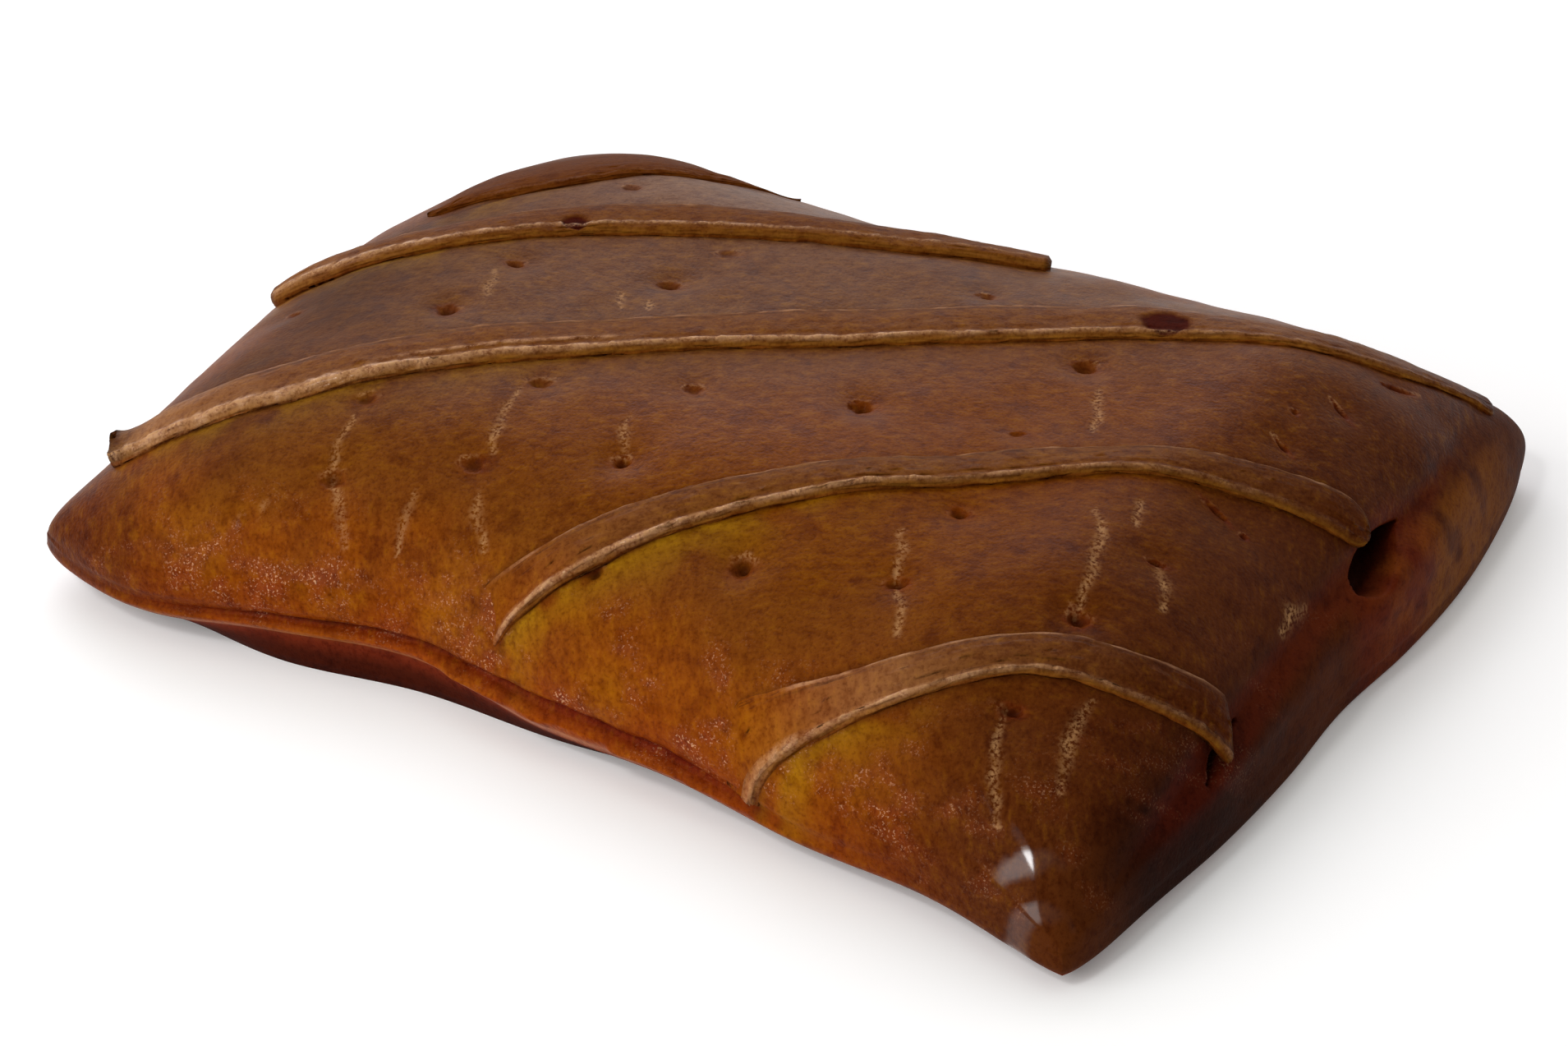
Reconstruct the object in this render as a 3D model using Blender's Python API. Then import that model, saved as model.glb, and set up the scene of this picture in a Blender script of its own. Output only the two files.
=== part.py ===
"""Hornazo: an uncut savoury pie, a pillow of dough with five dough strips baked across its lid.

Metres, +Z up. The pie lies flat on z = 0 with its long side along X. The front is -Y, the right
end is +X. A place on the pie is given by u, from -1 at the left end to 1 at the right end, and
v, from -1 at the front side to 1 at the back side.
"""

import math

import bmesh
import bpy
import numpy as np
from mathutils import Vector

# Driving sizes of the case, in metres
HALF_LENGTH = 0.156
HALF_WIDTH = 0.117
LID_HEIGHT = 0.053
CROWN = 0.003            # how much higher the middle of the lid is than its flanks' tops
FULLNESS_IN = 1.95       # exponents of the lid's flanks: larger is boxier
FULLNESS_UP = 2.1
FRONT_SHOULDER = 0.070   # how far in from each side the lid has reached its height
BACK_SHOULDER = 0.066
LEFT_SHOULDER = 0.078
RIGHT_SHOULDER = 0.058

# Each side at nine even stations: how far its edge stands out past the plain rectangle
FRONT_OUT = (0.0030, 0.0055, -0.0015, -0.0090, -0.0060, -0.0055, -0.0015, 0.0020, 0.0105)
BACK_OUT = (0.0010, 0.003, -0.001, -0.0065, -0.0070, -0.0020, 0.0020, 0.0010, 0.0080)
LEFT_OUT = (-0.0060, -0.0072, -0.0034, 0.0026, 0.0072, 0.0076, 0.0030, -0.0002, -0.0064)
RIGHT_OUT = (-0.0042, -0.0022, 0.0012, 0.0024, 0.0016, 0.0048, 0.0058, 0.0034, -0.0010)

CORNER_ROUND = 0.0035    # how far the corners are pulled in

# The height of the pinched edge at the same stations
FRONT_EDGE = (0.0125, 0.010, 0.0125, 0.013, 0.009, 0.009, 0.0075, 0.009, 0.007)
BACK_EDGE = (0.012, 0.010, 0.009, 0.009, 0.009, 0.009, 0.009, 0.0095, 0.009)
LEFT_EDGE = (0.0125, 0.0115, 0.010, 0.010, 0.010, 0.010, 0.010, 0.0105, 0.012)
RIGHT_EDGE = (0.007, 0.006, 0.005, 0.004, 0.003, 0.003, 0.0035, 0.005, 0.009)

# The seam where the lid is pressed on the base: a groove above a rounded lip
LIP_UNDER = 0.003        # the lip reaches this far below the edge's height
LIP_OVER = (0.003, 0.003, 0.0035, 0.005, 0.009, 0.0075, 0.003, 0.003, 0.003)
SEAM_DEPTH = (0.0, 0.0004, 0.0022, 0.0036, 0.0038, 0.0028, 0.0003, 0.0, 0.0)
LIP_BULGE = (0.0003, 0.0006, 0.0012, 0.0018, 0.0030, 0.0026, 0.0006, 0.0003, 0.0003)
LIP_ROUND = 0.0012       # how far its bottom edge is rounded inwards

# How far in from the front edge the underside meets the table, and from the other edges
UNDERSIDE = (0.012, 0.010, 0.0025, 0.002, 0.006, 0.010, 0.010, 0.009, 0.007)
UNDERSIDE_ELSEWHERE = 0.006

# The fold along the right end, where the base is turned up over the lid
FOLD_U = 0.951
FOLD_SPREAD = 0.016
FOLD_DEPTH = (0.0, 0.0008, 0.0026, 0.0020, 0.0020, 0.0028, 0.0012, 0.0004, 0.0)

# Two gaps in that fold: place, half length, half width, half depth, and turn about Z in degrees
FOLD_GAPS = (
    ((0.1525, 0.0258, 0.0285), 0.0150, 0.0030, 0.0075, 4.0),
    ((0.1535, -0.0580, 0.0215), 0.0115, 0.0010, 0.0050, 4.0),
)

# Pricks that let the steam out: plan places between the strips, and how wide each one gapes
PRICKS = (
    (-0.084, 0.056, 0.0022), (-0.084, 0.002, 0.0024), (-0.085, -0.026, 0.0030),
    (-0.043, 0.014, 0.0028), (-0.038, 0.035, 0.0018),
    (0.031, 0.050, 0.0026), (-0.130, -0.034, 0.0018), (-0.042, -0.045, 0.0024),
    (-0.007, -0.029, 0.0024), (0.033, -0.015, 0.0034), (0.070, 0.031, 0.0034),
    (0.071, -0.006, 0.0020), (-0.006, -0.062, 0.0030), (-0.070, -0.093, 0.0026),
    (-0.039, -0.077, 0.0028), (0.122, 0.042, 0.0018), (0.129, 0.053, 0.0026),
    (-0.077, -0.071, 0.0020), (0.076, -0.042, 0.0030), (0.039, -0.079, 0.0034),
    (0.010, -0.092, 0.0024), (0.076, -0.071, 0.0026), (0.121, -0.033, 0.0026),
    (0.118, -0.062, 0.0032), (0.117, -0.091, 0.0028),
)
PRICK_DEPTH = 0.0035
PRICK_SIDES = 8
DIMPLE_DEPTH = 0.0012
DIMPLE_SPREAD = 0.0055

# The dough strips, from the back left corner: plan stations of the centre line, width, thickness
# at even stations, then for the left and the right end how high the back edge curls and how suddenly
STRIPS = (
    ("dough_strip_1", (-0.1349, -0.1096, -0.0803, -0.0520),
     (0.0291, 0.0532, 0.0794, 0.0925), 0.0150, (0.0026, 0.0028, 0.0028, 0.0022, 0.0012),
     (0.0010, 8), (0.0010, 8)),
    ("dough_strip_2", (-0.1540, -0.1120, -0.0727, -0.0223, 0.0305),
     (-0.0150, 0.0080, 0.0372, 0.0597, 0.0860), 0.0158, (0.0028, 0.0026, 0.0028, 0.0034, 0.0038),
     (0.0045, 3), (0.0008, 2)),
    ("dough_strip_3", (-0.1418, -0.1020, -0.0640, -0.0220, 0.0240, 0.0660, 0.1090, 0.1460),
     (-0.0942, -0.0705, -0.0380, -0.0062, 0.0247, 0.0538, 0.0793, 0.1110), 0.0172,
     (0.0030, 0.0030, 0.0030, 0.0026, 0.0013), (0.0070, 50), (0.0, 8)),
    ("dough_strip_4", (-0.0155, 0.0101, 0.0373, 0.0662, 0.0943, 0.1225, 0.1492),
     (-0.1050, -0.0773, -0.0535, -0.0303, -0.0070, 0.0100, 0.0252), 0.0116,
     (0.0028, 0.0030, 0.0030, 0.0030, 0.0028), (0.0, 8), (0.0004, 8)),
    ("dough_strip_5", (0.0610, 0.0770, 0.0956, 0.1150, 0.1345, 0.1525),
     (-0.1098, -0.1025, -0.0901, -0.0765, -0.0675, -0.0548), 0.0106,
     (0.0024, 0.0027, 0.0027, 0.0027, 0.0027), (0.0, 8), (0.0, 8)),
)
STRIP_GAP = 0.00035      # between a strip and the lid
STRIP_SIDE = 0.35        # height of a strip's sides as a share of its thickness
STRIP_TAPER = 0.25       # how much narrower a strip is at its ends

# How finely the solids are divided
CASE_CELLS_U = 46
CASE_CELLS_V = 34
CASE_ROWS = 4
STRIP_CELL = 0.005
STRIP_CELLS_ACROSS = 4

CRUST_COLOUR = (0.27, 0.105, 0.022)
STRIP_COLOUR = (0.30, 0.125, 0.040)
GLAZE_ROUGHNESS = 0.34

SMALL = 1e-5


def along(stations, t):
    """Height of a smooth curve through evenly spaced stations, with t from -1 to 1."""
    values = np.asarray(stations, float)
    last = len(values) - 1
    place = (np.clip(t, -1.0, 1.0) + 1.0) / 2.0 * last
    k = np.clip(np.floor(place).astype(int), 0, last - 1)
    f = place - k
    ends = np.concatenate(([2 * values[0] - values[1]], values, [2 * values[-1] - values[-2]]))
    a, b, c, d = ends[k], ends[k + 1], ends[k + 2], ends[k + 3]
    return 0.5 * (2 * b + (c - a) * f + (2 * a - 5 * b + 4 * c - d) * f**2 + (3 * b - a - 3 * c + d) * f**3)


def blend_sides(front, right, back, left, u, v):
    """Carries four side profiles, which agree at the corners, across the whole pie."""
    s, t = (u + 1.0) / 2.0, (v + 1.0) / 2.0
    sides = (1 - t) * along(front, u) + t * along(back, u) + (1 - s) * along(left, v) + s * along(right, v)
    near = (1 - s) * front[0] + s * front[-1]
    far = (1 - s) * back[0] + s * back[-1]
    return sides - (1 - t) * near - t * far


def straight(first, last):
    """A side profile that runs straight from one value to another."""
    return np.linspace(first, last, len(FRONT_OUT))


def plan(u, v):
    """Plan position of a place on the pie."""
    left, right = -HALF_LENGTH - np.array(LEFT_OUT), HALF_LENGTH + np.array(RIGHT_OUT)
    front, back = -HALF_WIDTH - np.array(FRONT_OUT), HALF_WIDTH + np.array(BACK_OUT)
    x = blend_sides(straight(left[0], right[0]), right, straight(left[-1], right[-1]), left, u, v)
    y = blend_sides(front, straight(front[-1], back[-1]), back, straight(front[0], back[0]), u, v)
    pull = CORNER_ROUND * (u * v) ** 16
    return x - np.sign(u) * pull, y - np.sign(v) * pull


def outward(u, v):
    """Plan direction that points out of the pie from a place on its edge."""
    inner = 0.97
    x, y = plan(u, v)
    xi, yi = plan(np.clip(u, -inner, inner), np.clip(v, -inner, inner))
    size = np.hypot(x - xi, y - yi) + SMALL * SMALL
    return (x - xi) / size, (y - yi) / size


def edge_height(u, v):
    return blend_sides(FRONT_EDGE, RIGHT_EDGE, BACK_EDGE, LEFT_EDGE, u, v)


def front_only(stations, u, v, fade=8):
    """A front side profile that fades away from the front side."""
    return along(stations, u) * np.clip(-v, 0.0, 1.0) ** fade


def lip_over(u, v):
    """How far the lip reaches above the edge's height."""
    plain = LIP_OVER[0]
    return plain + front_only(np.array(LIP_OVER) - plain, u, v)


def tuck(u, v):
    """How far in from the edge the underside meets the table."""
    return UNDERSIDE_ELSEWHERE + front_only(np.array(UNDERSIDE) - UNDERSIDE_ELSEWHERE, u, v, 2)


def rise(inset, shoulder):
    """Share of the lid's height reached at a distance in from one side."""
    left_over = np.clip(1.0 - inset / shoulder, 0.0, 1.0)
    return (1.0 - left_over**FULLNESS_IN) ** (1.0 / FULLNESS_UP)


def lid_height(u, v):
    share = (rise(HALF_LENGTH * (1 + u), LEFT_SHOULDER) * rise(HALF_LENGTH * (1 - u), RIGHT_SHOULDER)
             * rise(HALF_WIDTH * (1 + v), FRONT_SHOULDER) * rise(HALF_WIDTH * (1 - v), BACK_SHOULDER))
    start = edge_height(u, v) + lip_over(u, v)
    top = LID_HEIGHT + CROWN * (1 - u**2) * (1 - v**2)
    return start + (top - start) * share


def lid(u, v):
    """Points of the smooth lid."""
    x, y = plan(u, v)
    return np.stack((x, y, lid_height(u, v)), axis=-1)


def facing(surface, u, v):
    """Unit normals of a surface, taken from two short steps on it."""
    step = 0.004
    u0, v0 = np.clip(u, -1 + step, 1 - step), np.clip(v, -1 + step, 1 - step)
    along_u = surface(u0 + step, v0) - surface(u0 - step, v0)
    along_v = surface(u0, v0 + step) - surface(u0, v0 - step)
    normal = np.cross(along_u, along_v)
    return normal / np.linalg.norm(normal, axis=-1, keepdims=True)


def locate(x, y):
    """Finds the place on the pie that lies over a plan position."""
    u, v = x / HALF_LENGTH, y / HALF_WIDTH
    for _ in range(12):
        px, py = plan(u, v)
        u = np.clip(u - (px - x) / HALF_LENGTH, -1.0, 1.0)
        v = np.clip(v - (py - y) / HALF_WIDTH, -1.0, 1.0)
    return u, v


def relief(points, u, v):
    """How deep the fold and the dimples sink into the lid."""
    fold = along(FOLD_DEPTH, v) * np.exp(-(((u - FOLD_U) / FOLD_SPREAD) ** 2))
    depth = np.maximum(fold, 0.0)
    for x, y, _ in PRICKS:
        away = np.hypot(points[..., 0] - x, points[..., 1] - y)
        depth = depth + DIMPLE_DEPTH * np.exp(-((away / DIMPLE_SPREAD) ** 2))
    return depth


def case_points(u, v, w):
    """Points of the whole case: w is 1 on the lid, -1 on the base, and between them on the edge."""
    top = lid(u, v)
    inside = (np.abs(u) < 1 - SMALL) & (np.abs(v) < 1 - SMALL)
    sunk = top - facing(lid, u, v) * relief(top, u, v)[..., None]
    top = np.where(inside[..., None], sunk, top)

    x, y = plan(u, v)
    out_x, out_y = outward(u, v)
    high = edge_height(u, v) + lip_over(u, v)
    low = np.maximum(edge_height(u, v) - LIP_UNDER, 0.0)

    inset = np.minimum(HALF_LENGTH * (1 - np.abs(u)), HALF_WIDTH * (1 - np.abs(v)))
    curl = np.clip(inset / tuck(u, v), 0.0, 1.0) ** 1.3
    base_x, base_y = plan(u * (1 - LIP_ROUND / HALF_LENGTH), v * (1 - LIP_ROUND / HALF_WIDTH))
    base = np.stack((base_x, base_y, low * (1.0 - curl)), axis=-1)

    groove = front_only(SEAM_DEPTH, u, v) * np.exp(-(((w - 0.5) / 0.3) ** 2))
    bulge = front_only(LIP_BULGE, u, v) * np.sin(math.pi * (1.0 - w) / 2) ** 2
    offset = bulge - groove - LIP_ROUND * np.clip(-w, 0.0, 1.0) ** 3
    edge = np.stack((x + out_x * offset, y + out_y * offset, low + (high - low) * (w + 1) / 2), axis=-1)

    points = np.where((w > 1 - SMALL)[..., None], top, edge)
    return np.where((w < -1 + SMALL)[..., None], base, points)


def spread(cells, half, low_shoulder, high_shoulder):
    """Places from -1 to 1 that are evenly spaced along the domed lid."""
    t = np.linspace(-1.0, 1.0, 4001)
    height = LID_HEIGHT * rise(half * (1 + t), low_shoulder) * rise(half * (1 - t), high_shoulder)
    length = np.concatenate(([0.0], np.cumsum(np.hypot(np.diff(t) * half, np.diff(height)))))
    return np.interp(np.linspace(0.0, length[-1], cells + 1), length, t)


def divided_block(cells_u, cells_v, cells_w):
    """A cube from -1 to 1 whose faces are divided into a grid."""
    block = bmesh.new()
    bmesh.ops.create_cube(block, size=2.0)
    for axis, cells in enumerate((cells_u, cells_v, cells_w)):
        if cells > 1:
            edges = [e for e in block.edges if abs(e.verts[0].co[axis] - e.verts[1].co[axis]) > 1.0]
            bmesh.ops.subdivide_edges(block, edges=edges, cuts=cells - 1, use_grid_fill=True)
    return block


def bend(block, shape):
    """Moves every vertex of a divided block to where the shape function puts it."""
    block.verts.ensure_lookup_table()
    flat = np.array([tuple(vert.co) for vert in block.verts])
    for vert, place in zip(block.verts, shape(flat[:, 0], flat[:, 1], flat[:, 2])):
        vert.co = place


def material(name, colour):
    made = bpy.data.materials.new(name)
    made.use_nodes = True
    shader = made.node_tree.nodes["Principled BSDF"]
    shader.inputs["Base Color"].default_value = (*colour, 1.0)
    shader.inputs["Roughness"].default_value = GLAZE_ROUGHNESS
    shader.inputs["Metallic"].default_value = 0.0
    return made


def add_object(name, block, collection, colour=None):
    mesh = bpy.data.meshes.new(name)
    block.to_mesh(mesh)
    block.free()
    made = bpy.data.objects.new(name, mesh)
    collection.objects.link(made)
    if colour is not None:
        mesh.materials.append(material(name + "_crust", colour))
        mesh.shade_smooth()
        mesh.set_sharp_from_angle(angle=math.radians(50))
    return made


def prick_cutter(number, x, y, radius, cutters):
    """A blunt cone that stands on the lid's normal and opens upwards."""
    cone = bmesh.new()
    bmesh.ops.create_cone(cone, cap_ends=True, segments=PRICK_SIDES, radius1=radius * 0.4,
                          radius2=radius * 1.6, depth=2 * PRICK_DEPTH)
    u, v = locate(np.array([x]), np.array([y]))
    normal = Vector(facing(lid, u, v)[0])
    place = Vector(lid(u, v)[0]) - normal * DIMPLE_DEPTH
    turn = normal.to_track_quat("Z", "Y").to_matrix().to_4x4()
    bmesh.ops.transform(cone, matrix=turn, verts=cone.verts)
    bmesh.ops.translate(cone, vec=place, verts=cone.verts)
    return add_object(f"prick_{number}", cone, cutters)


def gap_cutter(number, gap, cutters):
    """A long thin bubble that opens the fold where the turned-up base has come away."""
    place, half_length, half_width, half_depth, turn = gap
    bubble = bmesh.new()
    bmesh.ops.create_uvsphere(bubble, u_segments=10, v_segments=8, radius=1.0)
    bmesh.ops.scale(bubble, vec=(half_width, half_length, half_depth), verts=bubble.verts)
    made = add_object(f"gap_{number}", bubble, cutters)
    made.location = place
    made.rotation_euler = (0.0, math.radians(20.0), math.radians(turn))
    return made


def make_crust(parts, cutters):
    """The closed dough case: lid, pinched edge and flat base in one solid."""
    rows_u = np.sort(np.append(spread(CASE_CELLS_U, HALF_LENGTH, LEFT_SHOULDER, RIGHT_SHOULDER), FOLD_U))
    rows_v = spread(CASE_CELLS_V, HALF_WIDTH, FRONT_SHOULDER, BACK_SHOULDER)
    block = divided_block(len(rows_u) - 1, len(rows_v) - 1, CASE_ROWS)
    even_u = np.linspace(-1.0, 1.0, len(rows_u))
    even_v = np.linspace(-1.0, 1.0, len(rows_v))
    bend(block, lambda u, v, w: case_points(np.interp(u, even_u, rows_u), np.interp(v, even_v, rows_v), w))
    bmesh.ops.triangulate(block, faces=block.faces)
    crust = add_object("crust", block, parts, CRUST_COLOUR)

    for number, (x, y, radius) in enumerate(PRICKS, 1):
        prick_cutter(number, x, y, radius, cutters)
    for number, gap in enumerate(FOLD_GAPS, 1):
        gap_cutter(number, gap, cutters)
    for cutter in cutters.objects:
        cutter.hide_render = True
        cutter.display_type = "WIRE"
    cut = crust.modifiers.new("pricks_and_gaps", "BOOLEAN")
    cut.operation = "DIFFERENCE"
    cut.operand_type = "COLLECTION"
    cut.collection = cutters
    cut.solver = "EXACT"


def make_strip(name, path_x, path_y, width, thickness, left_curl, right_curl, parts):
    """A flat band of dough that follows the lid, with rounded edges and narrower ends."""
    rough = np.linspace(-1.0, 1.0, 41)
    length = np.sum(np.hypot(np.diff(along(path_x, rough)), np.diff(along(path_y, rough))))
    block = divided_block(round(length / STRIP_CELL), STRIP_CELLS_ACROSS, 1)

    def shape(t, side, w):
        step = 0.01
        x, y = along(path_x, t), along(path_y, t)
        ahead, behind = np.clip(t + step, -1.0, 1.0), np.clip(t - step, -1.0, 1.0)
        run_x = along(path_x, ahead) - along(path_x, behind)
        run_y = along(path_y, ahead) - along(path_y, behind)
        run = np.hypot(run_x, run_y)
        half = 0.5 * width * (1.0 - STRIP_TAPER * np.abs(t) ** 12)
        u, v = locate(x - run_y / run * side * half, y + run_x / run * side * half)
        rounded = 1.0 - (1.0 - STRIP_SIDE) * np.maximum(np.abs(side), np.abs(t)) ** 8
        curl = left_curl[0] * np.clip(-t, 0.0, 1.0) ** left_curl[1]
        curl = (curl + right_curl[0] * np.clip(t, 0.0, 1.0) ** right_curl[1]) * (0.6 + 0.4 * side)
        lift = STRIP_GAP + np.where(w > 0.0, along(thickness, t) * rounded, 0.0)
        points = lid(u, v) + facing(lid, u, v) * lift[..., None]
        points[..., 2] += curl
        return points

    bend(block, shape)
    bmesh.ops.triangulate(block, faces=block.faces)
    add_object(name, block, parts, STRIP_COLOUR)


def main():
    for old in list(bpy.data.objects):
        bpy.data.objects.remove(old, do_unlink=True)
    parts = bpy.data.collections.new("hornazo")
    cutters = bpy.data.collections.new("cutters")
    bpy.context.scene.collection.children.link(parts)
    bpy.context.scene.collection.children.link(cutters)
    make_crust(parts, cutters)
    for strip in STRIPS:
        make_strip(*strip, parts)


main()
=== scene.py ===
"""Looks of a hornazo: an uncut savoury pie of egg-glazed dough with five dough strips on its lid.

Metres, +Z up. The pie lies flat on z = 0 with its long side along X. The front is -Y, the right
end is +X. A place on the pie is given by u, from -1 at the left end to 1 at the right end, and
v, from -1 at the front side to 1 at the back side.
"""

import math

import bmesh
import bpy
import numpy as np
from mathutils import Matrix, Vector


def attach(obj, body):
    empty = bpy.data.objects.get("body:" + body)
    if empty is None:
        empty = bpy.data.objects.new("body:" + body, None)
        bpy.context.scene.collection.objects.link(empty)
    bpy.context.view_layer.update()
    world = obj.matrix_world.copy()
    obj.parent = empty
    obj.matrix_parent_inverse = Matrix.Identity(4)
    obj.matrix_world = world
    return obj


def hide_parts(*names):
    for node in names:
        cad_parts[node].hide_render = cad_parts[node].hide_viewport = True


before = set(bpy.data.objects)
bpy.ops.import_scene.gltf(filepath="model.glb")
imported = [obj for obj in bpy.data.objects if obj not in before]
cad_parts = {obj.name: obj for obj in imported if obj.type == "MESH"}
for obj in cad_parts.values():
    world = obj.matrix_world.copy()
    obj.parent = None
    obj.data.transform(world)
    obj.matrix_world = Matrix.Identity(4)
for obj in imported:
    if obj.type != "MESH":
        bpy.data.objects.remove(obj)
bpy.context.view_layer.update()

# Driving sizes of the case, the same as in the solids
HALF_LENGTH = 0.156
HALF_WIDTH = 0.117
LID_HEIGHT = 0.053
CROWN = 0.003
FULLNESS_IN = 1.95
FULLNESS_UP = 2.1
FRONT_SHOULDER = 0.070
BACK_SHOULDER = 0.066
LEFT_SHOULDER = 0.078
RIGHT_SHOULDER = 0.058

# Each side at nine even stations: how far its edge stands out, and the edge's height
FRONT_OUT = (0.0030, 0.0055, -0.0015, -0.0090, -0.0060, -0.0055, -0.0015, 0.0020, 0.0105)
BACK_OUT = (0.0010, 0.003, -0.001, -0.0065, -0.0070, -0.0020, 0.0020, 0.0010, 0.0080)
LEFT_OUT = (-0.0060, -0.0072, -0.0034, 0.0026, 0.0072, 0.0076, 0.0030, -0.0002, -0.0064)
RIGHT_OUT = (-0.0042, -0.0022, 0.0012, 0.0024, 0.0016, 0.0048, 0.0058, 0.0034, -0.0010)
FRONT_EDGE = (0.0125, 0.010, 0.0125, 0.013, 0.009, 0.009, 0.0075, 0.009, 0.007)
BACK_EDGE = (0.012, 0.010, 0.009, 0.009, 0.009, 0.009, 0.009, 0.0095, 0.009)
LEFT_EDGE = (0.0125, 0.0115, 0.010, 0.010, 0.010, 0.010, 0.010, 0.0105, 0.012)
RIGHT_EDGE = (0.007, 0.006, 0.005, 0.004, 0.003, 0.003, 0.0035, 0.005, 0.009)
CORNER_ROUND = 0.0035

# The pressed seam on the front: a dark red groove above a rounded lip
LIP_UNDER = 0.003
LIP_OVER = (0.003, 0.003, 0.0035, 0.005, 0.009, 0.0075, 0.003, 0.003, 0.003)
SEAM_DEPTH = (0.0, 0.0006, 0.0028, 0.0042, 0.0045, 0.0034, 0.0004, 0.0, 0.0)
LIP_BULGE = (0.0003, 0.0006, 0.0012, 0.0018, 0.0030, 0.0026, 0.0006, 0.0003, 0.0003)
LIP_ROUND = 0.0012
UNDERSIDE = (0.012, 0.010, 0.0025, 0.002, 0.006, 0.010, 0.010, 0.009, 0.007)
UNDERSIDE_ELSEWHERE = 0.006

# The fold along the right end: its line and depth at nine stations from front to back
FOLD_LINE = (0.990, 0.984, 0.974, 0.964, 0.957, 0.951, 0.944, 0.932, 0.920)
FOLD_DEPTH = (0.0002, 0.0008, 0.0026, 0.0020, 0.0020, 0.0028, 0.0012, 0.0005, 0.0002)
FOLD_SPREAD = 0.0026
ROLL_RISE = (0.0, 0.0006, 0.0018, 0.0018, 0.0018, 0.0026, 0.0014, 0.0006, 0.0)

# Two gaps in that fold: plan place, half length, half width, turn in degrees, depth, red round it
FOLD_GAPS = (
    (0.1528, 0.0258, 0.0148, 0.0028, 2.0, 0.0090, 0.54),
    (0.1538, -0.0578, 0.0105, 0.0006, 4.0, 0.0035, 0.0),
)

# Pricks and tears: plan place, half length, half width, turn in degrees, depth, darkness of painted shade
# inside
PRICKS = (
    (-0.0840, 0.0560, 0.0030, 0.0020, 20, 0.0022, 0.7),
    (-0.0842, 0.0025, 0.0028, 0.0020, 20, 0.0028, 0.9),
    (-0.0850, -0.0260, 0.0030, 0.0028, 0, 0.0032, 0.9),
    (-0.0434, 0.0144, 0.0034, 0.0024, 25, 0.0026, 0.6),
    (-0.0385, 0.0354, 0.0036, 0.0020, 15, 0.0010, 0.2),
    (-0.0070, -0.0290, 0.0030, 0.0022, 30, 0.0016, 0.5),
    (0.0310, 0.0500, 0.0030, 0.0018, 10, 0.0016, 0.5),
    (-0.1300, -0.0340, 0.0024, 0.0018, 0, 0.0012, 0.6),
    (-0.0420, -0.0450, 0.0034, 0.0024, 30, 0.0022, 0.4),
    (0.0330, -0.0150, 0.0036, 0.0032, 20, 0.0036, 0.8),
    (0.0695, 0.0315, 0.0036, 0.0030, 25, 0.0034, 0.6),
    (0.0710, -0.0060, 0.0028, 0.0016, 35, 0.0012, 0.4),
    (-0.0060, -0.0620, 0.0026, 0.0022, 0, 0.0034, 1.0),
    (-0.0700, -0.0930, 0.0032, 0.0024, 20, 0.0026, 0.5),
    (-0.0390, -0.0770, 0.0034, 0.0026, 20, 0.0018, 0.7),
    (0.1217, 0.0422, 0.0014, 0.0012, 0, 0.0012, 0.6),
    (0.1294, 0.0531, 0.0036, 0.0010, -27, 0.0026, 1.0),
    (-0.0770, -0.0700, 0.0034, 0.0024, 25, 0.0018, 0.6),
    (0.0760, -0.0420, 0.0026, 0.0022, 0, 0.0032, 0.9),
    (0.0390, -0.0790, 0.0032, 0.0030, 0, 0.0042, 0.9),
    (0.0060, -0.0920, 0.0026, 0.0018, 45, 0.0022, 0.9),
    (0.0760, -0.0710, 0.0032, 0.0016, 20, 0.0026, 0.9),
    (0.1228, -0.0338, 0.0028, 0.0010, 20, 0.0026, 0.9),
    (0.1180, -0.0620, 0.0032, 0.0024, 10, 0.0032, 0.9),
    (0.1170, -0.0910, 0.0032, 0.0016, 25, 0.0030, 0.9),
    (0.1249, 0.0292, 0.0034, 0.0008, -22, 0.0020, 0.9),
    (0.1241, -0.0043, 0.0045, 0.0011, -12, 0.0024, 1.0),
    (0.1320, -0.0060, 0.0014, 0.0010, 0, 0.0014, 0.9),
    (0.1330, 0.0790, 0.0050, 0.0014, 40, 0.0020, 0.8),
    (-0.0850, -0.1080, 0.0040, 0.0022, 60, 0.0006, 0.0),
)
USUAL_DEPTH = 0.003          # depth of a prick whose dimple sinks by DIMPLE_DEPTH
DIMPLE_DEPTH = 0.0014
DIMPLE_SPREAD = 0.0060
RIM_RISE = 0.00005
# The pale rim on that side of a prick is a painted highlight
HIGHLIGHT_SIDE = (-0.54, 0.84)    # plan direction in which the rim of a prick is pale

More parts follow.
